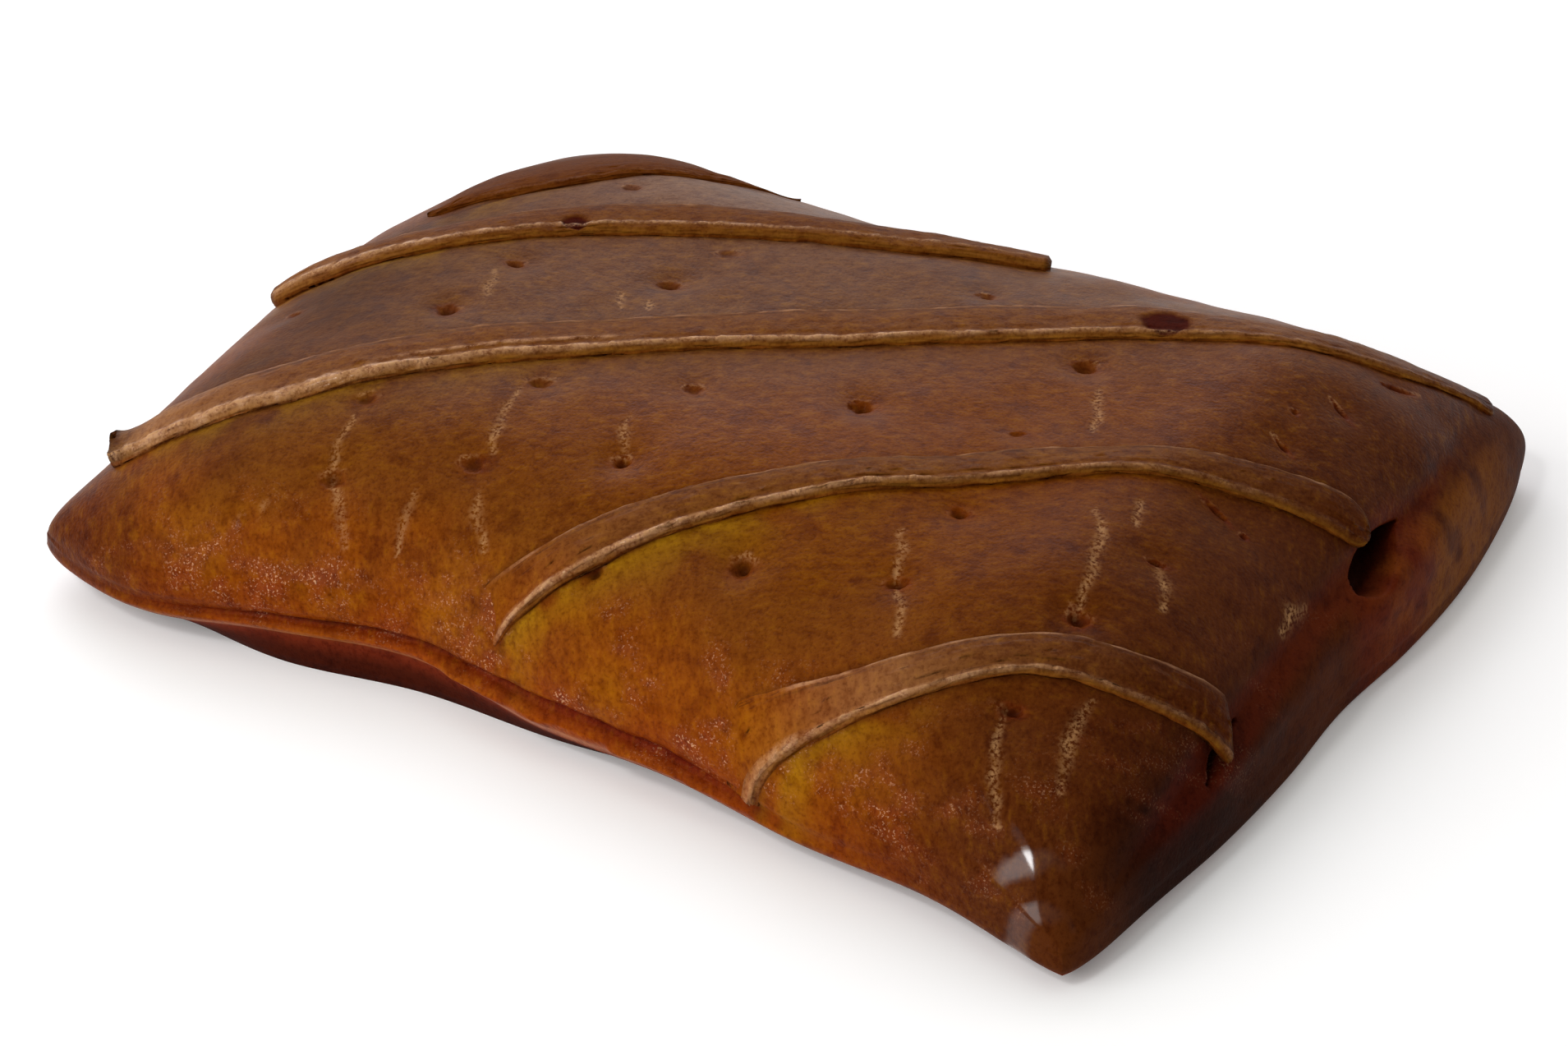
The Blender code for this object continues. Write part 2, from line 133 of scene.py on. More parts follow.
# Pale cracks where the glaze stretched: lines of plan places
CRACKS = (
    ((-0.0440, -0.050), (-0.0415, -0.062), (-0.0365, -0.072)),
    ((-0.076, -0.077), (-0.0745, -0.085), (-0.070, -0.093)),
    ((-0.069, -0.095), (-0.065, -0.098), (-0.058, -0.104)),
    ((-0.048, -0.090), (-0.047, -0.095), (-0.045, -0.101)),
    ((-0.013, -0.048), (-0.010, -0.054), (-0.007, -0.060)),
    ((-0.033, -0.083), (-0.029, -0.089), (-0.024, -0.095)),
    ((0.068, -0.056), (0.072, -0.062), (0.075, -0.070)),
    ((0.077, -0.073), (0.081, -0.078), (0.084, -0.084)),
    ((0.104, -0.027), (0.109, -0.035), (0.112, -0.043), (0.115, -0.055), (0.117, -0.061)),
    ((0.123, -0.034), (0.127, -0.038), (0.131, -0.046)),
    ((0.149, -0.006), (0.148, -0.012), (0.149, -0.020)),
    ((0.116, -0.092), (0.118, -0.099), (0.121, -0.107), (0.126, -0.112)),
    ((0.131, -0.079), (0.131, -0.091), (0.135, -0.101)),
    ((0.0784, 0.0225), (0.0824, 0.0137), (0.0861, 0.0053)),
    ((0.1097, -0.0178), (0.1139, -0.0267)),
    ((-0.0864, -0.0041), (-0.0825, -0.0106), (-0.0790, -0.0162)),
    ((-0.0515, 0.0031), (-0.0475, -0.0030)),
    ((-0.0424, 0.0031), (-0.0400, -0.0010)),
)
CRACK_WIDTH = 0.0012
CRACK_DEPTH = 0.00025

# Lumps that the filling pushes up under the lid: height, size across and random seed
LUMPS = ((0.0010, 0.045, 3), (0.0006, 0.019, 5), (0.00015, 0.007, 6))

# Wide, middling and small patches in the bake: size across and random seed
PATCHES = ((0.030, 41), (0.013, 42), (0.006, 43))

# Spots near the front right corner where the glaze stayed wet: plan place, half length, half width, turn
WET_SPOTS = (
    (0.1349, -0.1162, 0.0076, 0.0021, 33),
    (0.1395, -0.1223, 0.0082, 0.0014, 18),
)

# How brightly the lip glows and how blistered the glaze is, from left to right along the front
LIP_GLOW = (0.2, 0.35, 0.7, 0.9, 0.9, 0.7, 0.2, 0.1, 0.0)
BLISTERS = (0.0, 0.4, 0.9, 0.5, 0.9, 0.9, 0.7, 0.5, 0.1)

# Colours of the baked lid and its edge, and of the sheen, highlights, glints and shade painted on it
SLOPE = "#823f06"
AMBER = "#9a5a08"
RUSSET = "#6e350c"
LOW = "#803404"
TOP = "#633a18"
TOP_DARK = "#542e14"
# Painted sheen: the greyish reflection of the window on the back of the top
CREST_SHEEN = "#7c5e4c"
TOP_FRONT = "#6c3602"
RIGHT_END = "#4a2008"
LEFT_TIP = "#4e2208"
FRONT_TIP = "#50260c"
GOLD = "#a0740e"
BLISTER = "#7e3012"
CONTACT_SHADE_AND_JOINT = "#34180a"
LIP = "#903e06"
ROLL = "#7c4610"
UNDER = "#722812"
RED = "#66180a"
HOLE_SHADE = "#220a05"
SHADE = "#1a0704"
CRACK_AND_HIGHLIGHT = "#b88a5a"
# Painted glints of the blisters and the ridges
PAINTED_GLINT = "#e0ac80"

# Colours of the strips
STRIP_TOP = "#6c3e18"
STRIP_SLOPE = "#90603a"
GOLD_SIDE = "#8f5c1c"
PALE_EDGE_AND_HIGHLIGHT = "#dcaa80"
STRIP_LINE = "#40200a"
STRIP_BACK = "#5c2e08"
STAIN = "#3c0c06"

# Tints of the brush strokes, patches and grain, and of the glaze with its shine on lid and strips
STREAK_DARK = "#b08050"
STREAK_LIGHT = "#5c3c00"
PATCH_DARK = "#a87050"
GRAIN_DARK = "#a88060"
GRAIN_LIGHT = "#381e06"
GLAZE_TINT = "#c07020"
LID_GLAZE = 0.06
STRIP_GLAZE = 0.025
LID_ROUGHNESS = 0.42
STRIP_ROUGHNESS = 0.44

# The dough strips: plan stations, width, thickness at even stations, and each end's curl
STRIPS = (
    ("dough_strip_1", (-0.1349, -0.1096, -0.0803, -0.0520),
     (0.0291, 0.0532, 0.0794, 0.0925), 0.0150, (0.0026, 0.0028, 0.0028, 0.0022, 0.0012),
     (0.0010, 8), (0.0010, 8)),
    ("dough_strip_2", (-0.1540, -0.1120, -0.0727, -0.0223, 0.0305),
     (-0.0150, 0.0080, 0.0372, 0.0597, 0.0860), 0.0158, (0.0028, 0.0026, 0.0028, 0.0034, 0.0038),
     (0.0045, 3), (0.0008, 2)),
    ("dough_strip_3", (-0.1418, -0.1020, -0.0640, -0.0220, 0.0240, 0.0660, 0.1090, 0.1460),
     (-0.0942, -0.0705, -0.0380, -0.0062, 0.0247, 0.0538, 0.0793, 0.1110), 0.0172,
     (0.0030, 0.0030, 0.0030, 0.0026, 0.0013), (0.0070, 50), (0.0, 8)),
    ("dough_strip_4", (-0.0168, 0.0101, 0.0373, 0.0662, 0.0943, 0.1225, 0.1492),
     (-0.1068, -0.0773, -0.0535, -0.0303, -0.0070, 0.0100, 0.0252), 0.0118,
     (0.0028, 0.0030, 0.0030, 0.0030, 0.0028), (0.0, 8), (0.0004, 8)),
    ("dough_strip_5", (0.0568, 0.0765, 0.0956, 0.1150, 0.1345, 0.1525),
     (-0.1121, -0.1027, -0.0901, -0.0765, -0.0675, -0.0548), 0.0110,
     (0.0024, 0.0027, 0.0027, 0.0027, 0.0027), (0.0, 8), (0.0, 8)),
)

# How each strip ends, left then right: rounded length, width share, and the length it fades out over
STRIP_ENDS = {
    "dough_strip_1": ((0.004, 0.4, 0.012), (0.006, 0.5, 0.030)),
    "dough_strip_2": ((0.004, 0.8, 0.0), (0.0012, 0.85, 0.0)),
    "dough_strip_3": ((0.0015, 0.92, 0.0), (0.003, 0.75, 0.0)),
    "dough_strip_4": ((0.002, 1.0, 0.022), (0.007, 1.0, 0.0)),
    "dough_strip_5": ((0.002, 1.1, 0.018), (0.0012, 1.0, 0.0)),
}

# How each strip is baked: its ridge's place and how much wider that is at the left, how high and how
# square it stands, the gold below it, how dark its back is and the colour of its near side
STRIP_BAKE = (
    (-0.70, 0.04, 0.65, 4, 0.5, 0.9, RUSSET),
    (-0.52, 0.12, 0.95, 6, 0.5, 0.3, GOLD_SIDE),
    (-0.76, 0.12, 0.95, 6, 0.5, 0.0, GOLD_SIDE),
    (-0.80, 0.04, 0.95, 6, 1.0, 0.0, GOLD_SIDE),
    (-0.82, 0.04, 0.95, 6, 0.9, 0.0, GOLD_SIDE),
)
TURNED_UP = "dough_strip_3"    # its left end stands up, and its ridge is double for a stretch

# How ridged each strip is baked and how pale, left to right; the pale is partly dough, partly painted
# highlight
EDGE_PALE = {
    "dough_strip_1": (0.0, 0.1, 0.1, 0.0),
    "dough_strip_2": (0.7, 1.0, 0.7, 0.5, 0.2),
    "dough_strip_3": (1.0, 1.0, 1.0, 1.0, 0.9, 0.5, 0.2, 0.1),
    "dough_strip_4": (0.8, 1.0, 0.9, 0.5, 0.4, 0.15, 0.0),
    "dough_strip_5": (0.7, 1.0, 0.9, 0.5, 0.3, 0.2),
}

# Joints where two lengths of a strip meet: strip, plan place
JOINTS = {"dough_strip_3": (-0.0476, -0.0185), "dough_strip_4": (0.0388, -0.0492)}
JOINT_WIDTH = 0.0011

# Dark red stains where juice baked on a strip: plan place, half length, half width, turn in degrees
STAINS = (
    (0.0783, 0.0583, 0.0066, 0.0058, 33),
    (-0.0821, 0.0269, 0.0038, 0.0034, 33),
)

STRIP_SINK = 0.0008      # how far a strip's underside is baked into the lid
END_TAPER = 0.028        # length over which a strip takes on the width of its end
TIP_ROUND = 0.0014       # length over which an open end rounds down
# The dark open ends and the dark line along a strip are painted shade
END_DARK = (0.0030, 0.0022)    # how far in the left and the right open end are dark
CONTACT_WIDTH = 0.0010   # dark line along a strip
CONTACT_DEPTH = 0.0002
GOLD_REACH = 0.0055      # how far the gold spreads below a strip

# Meshes: cells along and across the lid, rows on the edge and the base, cells of a strip
LID_CELLS_U = 250
LID_CELLS_V = 190
WALL_ROWS = 10
BASE_ROWS = 5
STRIP_CELL = 0.0010
STRIP_CELLS_ACROSS = 40
MARK_MARGIN = 0.0022     # round pricks and gaps the cells are divided once
LINE_MARGIN = 0.0020     # and also beside cracks and the crease
CLOSE_MARGIN = 0.0008    # nearer to pricks and gaps they are divided twice
MOST_SIDES = 8           # a face with more sides than this is the base
LINE_STEPS = 81          # samples along a strip's middle
DOME_STEPS = 4001        # samples along the dome that spaces the cells
LOCATE_ROUNDS = 12       # steps that find the place over a plan position
SMALL = 1e-10            # keeps a division by a length away from zero

# Studio, with the name, direction, distance, size, power and colour of each light
WINDOW_SIDE = (-0.46, 0.70, 0.54)    # the sky is brightest behind the pie's back left corner
SKY = "#e8e6e2"
WHITE = "#ffffff"
LIGHTS = (
    ("back_window", (-0.55, 0.70, 0.60), 2.2, 2.0, 18.0, "#f4f2ff"),
    ("front_left_softbox", (-0.42, -0.80, 0.50), 1.9, 1.5, 20.0, WHITE),
    ("front_lamp", (-0.07, -0.60, 0.80), 1.7, 0.22, 4.4, WHITE),
)
LIGHTS_FACE = (0.0, 0.0, 0.03)
FLOOR_HALF = 4.0

# Camera: a long lens above the front right corner. Azimuth, elevation and roll in degrees, lens in mm
CAMERA_TARGET = (0.0148, -0.0230, 0.0200)
CAMERA_DISTANCE = 0.840
CAMERA_ANGLES = (33.0, 32.4, -1.2)
LENS = 77.3


# Form of the pie


def along(stations, t):
    """Height of a smooth curve through evenly spaced stations, with t from -1 to 1."""
    values = np.asarray(stations, float)
    last = len(values) - 1
    place = (np.clip(t, -1.0, 1.0) + 1.0) / 2.0 * last
    k = np.clip(np.floor(place).astype(int), 0, last - 1)
    f = place - k
    ends = np.concatenate(([2 * values[0] - values[1]], values, [2 * values[-1] - values[-2]]))
    a, b, c, d = ends[k], ends[k + 1], ends[k + 2], ends[k + 3]
    return 0.5 * (2 * b + (c - a) * f + (2 * a - 5 * b + 4 * c - d) * f**2
                  + (3 * b - a - 3 * c + d) * f**3)


def blend_sides(front, right, back, left, u, v):
    """Carries four side profiles, which agree at the corners, across the whole pie."""
    s, t = (u + 1.0) / 2.0, (v + 1.0) / 2.0
    sides = ((1 - t) * along(front, u) + t * along(back, u)
             + (1 - s) * along(left, v) + s * along(right, v))
    near = (1 - s) * front[0] + s * front[-1]
    far = (1 - s) * back[0] + s * back[-1]
    return sides - (1 - t) * near - t * far


def straight(first, last):
    """A side profile that runs evenly from its first value to its last."""
    return np.linspace(first, last, len(FRONT_OUT))


def plan(u, v):
    """Plan position of a place on the pie."""
    left, right = -HALF_LENGTH - np.array(LEFT_OUT), HALF_LENGTH + np.array(RIGHT_OUT)
    front, back = -HALF_WIDTH - np.array(FRONT_OUT), HALF_WIDTH + np.array(BACK_OUT)
    x = blend_sides(straight(left[0], right[0]), right, straight(left[-1], right[-1]), left, u, v)
    y = blend_sides(front, straight(front[-1], back[-1]), back, straight(front[0], back[0]), u, v)
    pull = CORNER_ROUND * (u * v) ** 16
    return x - np.sign(u) * pull, y - np.sign(v) * pull


def outward(u, v):
    """Plan direction that points out of the pie from a place on its edge."""
    inner = 0.97
    x, y = plan(u, v)
    xi, yi = plan(np.clip(u, -inner, inner), np.clip(v, -inner, inner))
    size = np.hypot(x - xi, y - yi) + SMALL
    return (x - xi) / size, (y - yi) / size


def edge_height(u, v):
    """Height of the middle of the edge."""
    return blend_sides(FRONT_EDGE, RIGHT_EDGE, BACK_EDGE, LEFT_EDGE, u, v)


def front_only(stations, u, v, fade=8):
    """A front side profile that fades away from the front side."""
    return along(stations, u) * np.clip(-v, 0.0, 1.0) ** fade


def lip_over(u, v):
    """How far the lid starts above the middle of the edge."""
    plain = LIP_OVER[0]
    return plain + front_only(np.array(LIP_OVER) - plain, u, v)


def tuck(u, v):
    """How far in from the edge the underside meets the table."""
    return UNDERSIDE_ELSEWHERE + front_only(np.array(UNDERSIDE) - UNDERSIDE_ELSEWHERE, u, v, 2)


def rise(inset, shoulder):
    """Share of the lid's height reached at a distance in from one side."""
    left_over = np.clip(1.0 - inset / shoulder, 0.0, 1.0)
    return (1.0 - left_over**FULLNESS_IN) ** (1.0 / FULLNESS_UP)


def lid(u, v):
    """Points of the smooth lid, as in the solids."""
    x, y = plan(u, v)
    share = (rise(HALF_LENGTH * (1 + u), LEFT_SHOULDER) * rise(HALF_LENGTH * (1 - u), RIGHT_SHOULDER)
             * rise(HALF_WIDTH * (1 + v), FRONT_SHOULDER) * rise(HALF_WIDTH * (1 - v), BACK_SHOULDER))
    start = edge_height(u, v) + lip_over(u, v)
    top = LID_HEIGHT + CROWN * (1 - u**2) * (1 - v**2)
    return np.stack((x, y, start + (top - start) * share), axis=-1)


def facing(u, v):
    """Unit normals of the smooth lid, taken from two short steps on it."""
    step = 0.004
    u0, v0 = np.clip(u, -1 + step, 1 - step), np.clip(v, -1 + step, 1 - step)
    normal = np.cross(lid(u0 + step, v0) - lid(u0 - step, v0), lid(u0, v0 + step) - lid(u0, v0 - step))
    return normal / np.linalg.norm(normal, axis=-1, keepdims=True)


def locate(x, y):
    """Finds the place on the pie that lies over a plan position."""
    u, v = x / HALF_LENGTH, y / HALF_WIDTH
    for _ in range(LOCATE_ROUNDS):
        px, py = plan(u, v)
        u = np.clip(u - (px - x) / HALF_LENGTH, -1.0, 1.0)
        v = np.clip(v - (py - y) / HALF_WIDTH, -1.0, 1.0)
    return u, v


def spread(cells, half, low_shoulder, high_shoulder):
    """Places from -1 to 1 that are evenly spaced along the domed lid."""
    t = np.linspace(-1.0, 1.0, DOME_STEPS)
    height = LID_HEIGHT * rise(half * (1 + t), low_shoulder) * rise(half * (1 - t), high_shoulder)
    length = np.concatenate(([0.0], np.cumsum(np.hypot(np.diff(t) * half, np.diff(height)))))
    return np.interp(np.linspace(0.0, length[-1], cells + 1), length, t)


# Hand-made unevenness and the marks on the lid


def smooth(low, high, value):
    """Goes softly from 0 at low to 1 at high."""
    t = np.clip((value - low) / (high - low), 0.0, 1.0)
    return t * t * (3.0 - 2.0 * t)


def bell(away, spread):
    """1 at no distance, falling softly to 0 some two spreads away."""
    return np.exp(-((away / spread) ** 2))


def uneven(x, y, size, seed):
    """Soft random heights from -1 to 1 with bumps about size metres across."""
    side, shift_x, shift_y = 64, 11.3, 7.7
    table = np.random.default_rng(seed).uniform(-1.0, 1.0, (side, side))
    a, b = np.asarray(x) / size + shift_x, np.asarray(y) / size + shift_y
    i, j = np.floor(a).astype(int), np.floor(b).astype(int)
    f, g = a - i, b - j
    f, g = f * f * (3 - 2 * f), g * g * (3 - 2 * g)
    low = table[i % side, j % side] * (1 - f) + table[(i + 1) % side, j % side] * f
    high = table[i % side, (j + 1) % side] * (1 - f) + table[(i + 1) % side, (j + 1) % side] * f
    return low * (1 - g) + high * g


def beside(x, y, line):
    """Distance to a line of plan places, positive on its left side, and the share run along it."""
    away = np.full(np.shape(x), np.inf)
    side, run = np.zeros(np.shape(x)), np.zeros(np.shape(x))
    for k, ((ax, ay), (bx, by)) in enumerate(zip(line[:-1], line[1:])):
        dx, dy = bx - ax, by - ay
        f = np.clip(((x - ax) * dx + (y - ay) * dy) / (dx * dx + dy * dy), 0.0, 1.0)
        ex, ey = x - ax - f * dx, y - ay - f * dy
        here = np.hypot(ex, ey)
        closer = here < away
        away = np.where(closer, here, away)
        side = np.where(closer, np.sign(dx * ey - dy * ex), side)
        run = np.where(closer, (k + f) / (len(line) - 1), run)
    return away * side, run


def turned(x, y, mark):
    """Distances from the middle of a mark, along it and across it, with its half length and half width."""
    cx, cy, long, short, turn = mark[:5]
    c, s = math.cos(math.radians(turn)), math.sin(math.radians(turn))
    return (x - cx) * c + (y - cy) * s, (y - cy) * c - (x - cx) * s, long, short


def oval(x, y, mark):
    """Distance from the middle of an oval mark, as a share of its radius."""
    p, q, long, short = turned(x, y, mark)
    return np.hypot(p / long, q / short)


def strip_line(strip):
    """Plan places along the middle of a strip."""
    _, path_x, path_y, *_ = strip
    t = np.linspace(-1.0, 1.0, LINE_STEPS)
    return list(zip(along(path_x, t), along(path_y, t)))


def swell(x, y):
    """Height of the lid's lumps."""
    return sum(height * uneven(x, y, size, seed) for height, size, seed in LUMPS)


def mottle(x, y):
    """Wide, middling and small patches, each from -1 to 1."""
    return [uneven(x, y, size, seed) for size, seed in PATCHES]


def gap_shape(x, y, gap):
    """1 inside a gap of the fold, which runs along Y, and 0 outside it, with a pointed far end."""
    q, p, long, short = turned(x, y, gap)
    run = np.clip(p / long, -1.0, 1.0)
    width = short * (1.0 - np.abs(run) ** 2.2) * (1.0 - 0.35 * run)
    return smooth(1.15, 0.75, np.abs(q) / np.maximum(width, 0.0002)) * (np.abs(p) < long)


def marks(u, v, x, y):
    """How deep each mark sinks into the lid, and the colour masks that go with it."""
    depth, dark, pale, red = (np.zeros(x.shape) for _ in range(4))
    ragged = 1.25 + 0.28 * uneven(x, y, 0.0017, 21) + 0.14 * uneven(x, y, 0.0007, 22)

    for number, mark in enumerate(PRICKS):
        cx, cy, _, _, _, sink, darkness = mark
        share = oval(x, y, mark) * ragged
        rim = bell(share - 1.30, 0.28)
        dimple = bell(np.hypot(x - cx, y - cy), DIMPLE_SPREAD)
        depth += 0.55 * sink * smooth(1.25, 0.1, share) + DIMPLE_DEPTH * dimple * (sink / USUAL_DEPTH)
        depth -= RIM_RISE * rim
        # Painted shade inside the prick, as strong as its darkness
        dark = np.maximum(dark, 0.75 * darkness * smooth(1.0, 0.2, share))
        red = np.maximum(red, 0.45 * smooth(2.2, 0.8, share) * (0.3 + 0.7 * darkness))
        # Painted highlight: the rim on the far side of each prick is pale
        behind = smooth(-0.3, 0.7, (HIGHLIGHT_SIDE[1] * (y - cy) + HIGHLIGHT_SIDE[0] * (x - cx)) / DIMPLE_SPREAD)
        pale = np.maximum(pale, 0.60 * rim * behind * smooth(-0.5, 0.5, uneven(x, y, 0.003, 40 + number)))

    for number, line in enumerate(CRACKS):
        side, run = beside(x, y, line)
        away = side + 0.0009 * uneven(x, y, 0.0050, 60 + number)
        away += 0.0003 * uneven(x, y, 0.0015, 70 + number)
        width = CRACK_WIDTH * (0.5 + 0.5 * np.sin(math.pi * np.clip(run, 0.03, 0.97)))
        crack = bell(away, width) * (0.55 + 0.35 * uneven(x, y, 0.0022, 80 + number))
        depth += CRACK_DEPTH * crack
        pale = np.maximum(pale, crack)

    line = along(FOLD_LINE, v)
    past = (u - line) * HALF_LENGTH
    crease = np.maximum(along(FOLD_DEPTH, v), 0.0) * bell(past, FOLD_SPREAD)
    room = (1.0 - line) * HALF_LENGTH
    roll = np.maximum(along(ROLL_RISE, v), 0.0) * np.sin(math.pi * np.clip(past / room, 0.0, 1.0)) ** 1.5
    depth += crease - roll
    red = np.maximum(red, 0.35 * smooth(0.0004, 0.0016, crease))

    for gap in FOLD_GAPS:
        cx, cy, long, short, turn, sink, redness = gap
        inside = gap_shape(x, y, gap)
        around = oval(x, y, (cx + 0.003, cy, short + 0.003, long + 0.002, turn))
        depth += sink * inside
        # Painted shade fills the gap
        dark = np.maximum(dark, inside)
        red = np.maximum(red, np.maximum(inside, redness * smooth(1.7, 0.9, around)))
    return depth, dark, pale, red


def lid_skin(u, v):
    """Points of the lid with its lumps, on which the strips lie."""
    x, y = plan(u, v)
    return lid(u, v) + facing(u, v) * swell(x, y)[..., None]


# Meshes


def divided_block(cells_u, cells_v, cells_w):
    """A cube from -1 to 1 whose faces are divided into a grid."""
    block = bmesh.new()
    bmesh.ops.create_cube(block, size=2.0)
    for axis, cells in enumerate((cells_u, cells_v, cells_w)):
        if cells > 1:
            edges = [e for e in block.edges if abs(e.verts[0].co[axis] - e.verts[1].co[axis]) > 1.0]
            bmesh.ops.subdivide_edges(block, edges=edges, cuts=cells - 1, use_grid_fill=True)
    return block


def put(name, data):
    """Puts a new mesh, light or camera into the scene."""
    thing = bpy.data.objects.new(name, data)
    bpy.context.scene.collection.objects.link(thing)
    return thing


def places(block):
    """Coordinates of a bmesh's points, as three arrays."""
    block.verts.ensure_lookup_table()
    return np.array([tuple(vert.co) for vert in block.verts]).T


def settle(block, points):
    """Moves each point of a bmesh to its new place."""
    for vert, place in zip(block.verts, points):
        vert.co = place


def rim_edges(net):
    """Open edges of a bmesh."""
    return [edge for edge in net.edges if edge.is_boundary]


def finish_piece(name, block, paints, node, finish):
    """Turns a bmesh into a piece of the pie with its masks stored as colour attributes."""
    bmesh.ops.recalc_face_normals(block, faces=block.faces)
    mesh = bpy.data.meshes.new(name)
    block.to_mesh(mesh)
    block.free()
    for paint, channels in paints.items():
        layer = mesh.attributes.new(paint, "FLOAT_COLOR", "POINT")
        values = np.clip(np.stack(channels, axis=-1), 0.0, 1.0).astype(np.float32)
        layer.data.foreach_set("color", values.ravel())
    mesh.shade_smooth()
    mesh.materials.append(finish)
    piece = put(name, mesh)
    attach(piece, "root")
    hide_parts(node)


def refine(net, near):
    """Divides the faces of a net whose middles the function near picks out."""
    net.faces.ensure_lookup_table()
    middles = np.array([tuple(face.calc_center_median()) for face in net.faces])
    picked = near(middles[:, 0], middles[:, 1])
    edges = {edge for face, wanted in zip(net.faces, picked) if wanted for edge in face.edges}
    bmesh.ops.subdivide_edges(net, edges=list(edges), cuts=1, use_grid_fill=True)


def close_to_marks(u, v, margin):
    """Picks the places near a prick or a gap in the fold."""
    x, y = plan(u, v)
    close = np.zeros(u.shape, bool)
    for cx, cy, long, *_ in PRICKS:
        close |= np.hypot(x - cx, y - cy) < long + margin
    for cx, cy, long, short, turn, *_ in FOLD_GAPS:
        close |= oval(x, y, (cx, cy, short + margin, long + margin, turn)) < 1.0
    return close


def close_to_lines(u, v, margin):
    """Picks the places near a crack or the crease of the fold."""
    x, y = plan(u, v)
    close = np.abs(u - along(FOLD_LINE, v)) * HALF_LENGTH < 2 * margin
    for line in CRACKS:
        close |= np.abs(beside(x, y, line)[0]) < margin
    return close


def case_net():
    """A flat net of the case: x and y hold the place, z counts the rows down from the lid."""
    net = bmesh.new()
    bmesh.ops.create_grid(net, x_segments=LID_CELLS_U, y_segments=LID_CELLS_V, size=1.0)
    rows_u = spread(LID_CELLS_U, HALF_LENGTH, LEFT_SHOULDER, RIGHT_SHOULDER)
    rows_v = spread(LID_CELLS_V, HALF_WIDTH, FRONT_SHOULDER, BACK_SHOULDER)
    u, v, _ = places(net)
    even_u, even_v = np.linspace(-1, 1, len(rows_u)), np.linspace(-1, 1, len(rows_v))
    settle(net, np.stack((np.interp(u, even_u, rows_u), np.interp(v, even_v, rows_v), 0 * u), axis=-1))
    refine(net, lambda u, v: close_to_marks(u, v, MARK_MARGIN) | close_to_lines(u, v, LINE_MARGIN))
    refine(net, lambda u, v: close_to_marks(u, v, CLOSE_MARGIN))
    for _ in range(WALL_ROWS + BASE_ROWS):
        made = bmesh.ops.extrude_edge_only(net, edges=rim_edges(net))["geom"]
        bmesh.ops.translate(net, vec=(0, 0, -1), verts=[g for g in made if isinstance(g, bmesh.types.BMVert)])
    bmesh.ops.holes_fill(net, edges=rim_edges(net), sides=0)
    return net


def strip_paint(x, y):
    """Masks beside the strips: the contact line of painted shade in a shallow groove, the gold below them,
    the dark band at the back.
    """
    contact, gold = np.zeros(x.shape), np.zeros(x.shape)
    for strip, bake in zip(STRIPS, STRIP_BAKE):
        side, run = beside(x, y, strip_line(strip))
        half, strength = strip[3] / 2, bake[4]
        ends = smooth(0.0, 0.02, run) * smooth(1.0, 0.98, run)
        contact = np.maximum(contact, bell(np.abs(side) - half, CONTACT_WIDTH) * ends)
        below = smooth(0.0, 0.001, -side - half) * np.exp(-((-side - half) / GOLD_REACH))
        gold = np.maximum(gold, strength * smooth(0.50, 0.15, run) * below * ends)
    side, run = beside(x, y, strip_line(STRIPS[0]))
    past = side - STRIPS[0][3] / 2 + 0.004 * uneven(x, y, 0.012, 48)
    behind = smooth(-0.006, 0.0, past) * smooth(0.026, 0.010, past)
    behind = behind * smooth(0.0, 0.12, run) * smooth(1.0, 0.82, run)
    return contact, gold, behind


def slope_shares(patches, height):
    """Colours that mottle the slopes, each with its share at a height."""
    wide, mid, near = patches
    return [
        (0.55 * smooth(0.0, 0.9, mid), AMBER),
        (0.55 * smooth(0.1, 0.9, -wide - 0.5 * near), RUSSET),
        (smooth(0.55, 0.25, height + 0.10 * mid), LOW),
    ]


def lay_colours(start, shares, count):
    """Lays colours over a first one, each with its share from 0 to 1."""
    colour = np.tile(linear(start)[:3], (count, 1))
    for share, code in shares:
        colour += (np.array(linear(code)[:3]) - colour) * np.clip(share, 0.0, 1.0)[:, None]
    return colour


def up_the_edge(row):
    """Place on the edge of the case, from 1 at the lid to -1 at the underside."""
    return 1.0 - 2.0 * np.clip(row, 0, WALL_ROWS) / WALL_ROWS


def seam_waver(u, v):
    """How the seam wobbles, and at which place on the edge its groove runs."""
    x, y = plan(u, v)
    wobble = uneven(u * HALF_LENGTH, v * HALF_WIDTH, 0.011, 31) + 0.5 * uneven(x, y, 0.0045, 32)
    return wobble, 0.42 + 0.10 * uneven(x, y, 0.016, 33) + 0.05 * uneven(x, y, 0.005, 34)


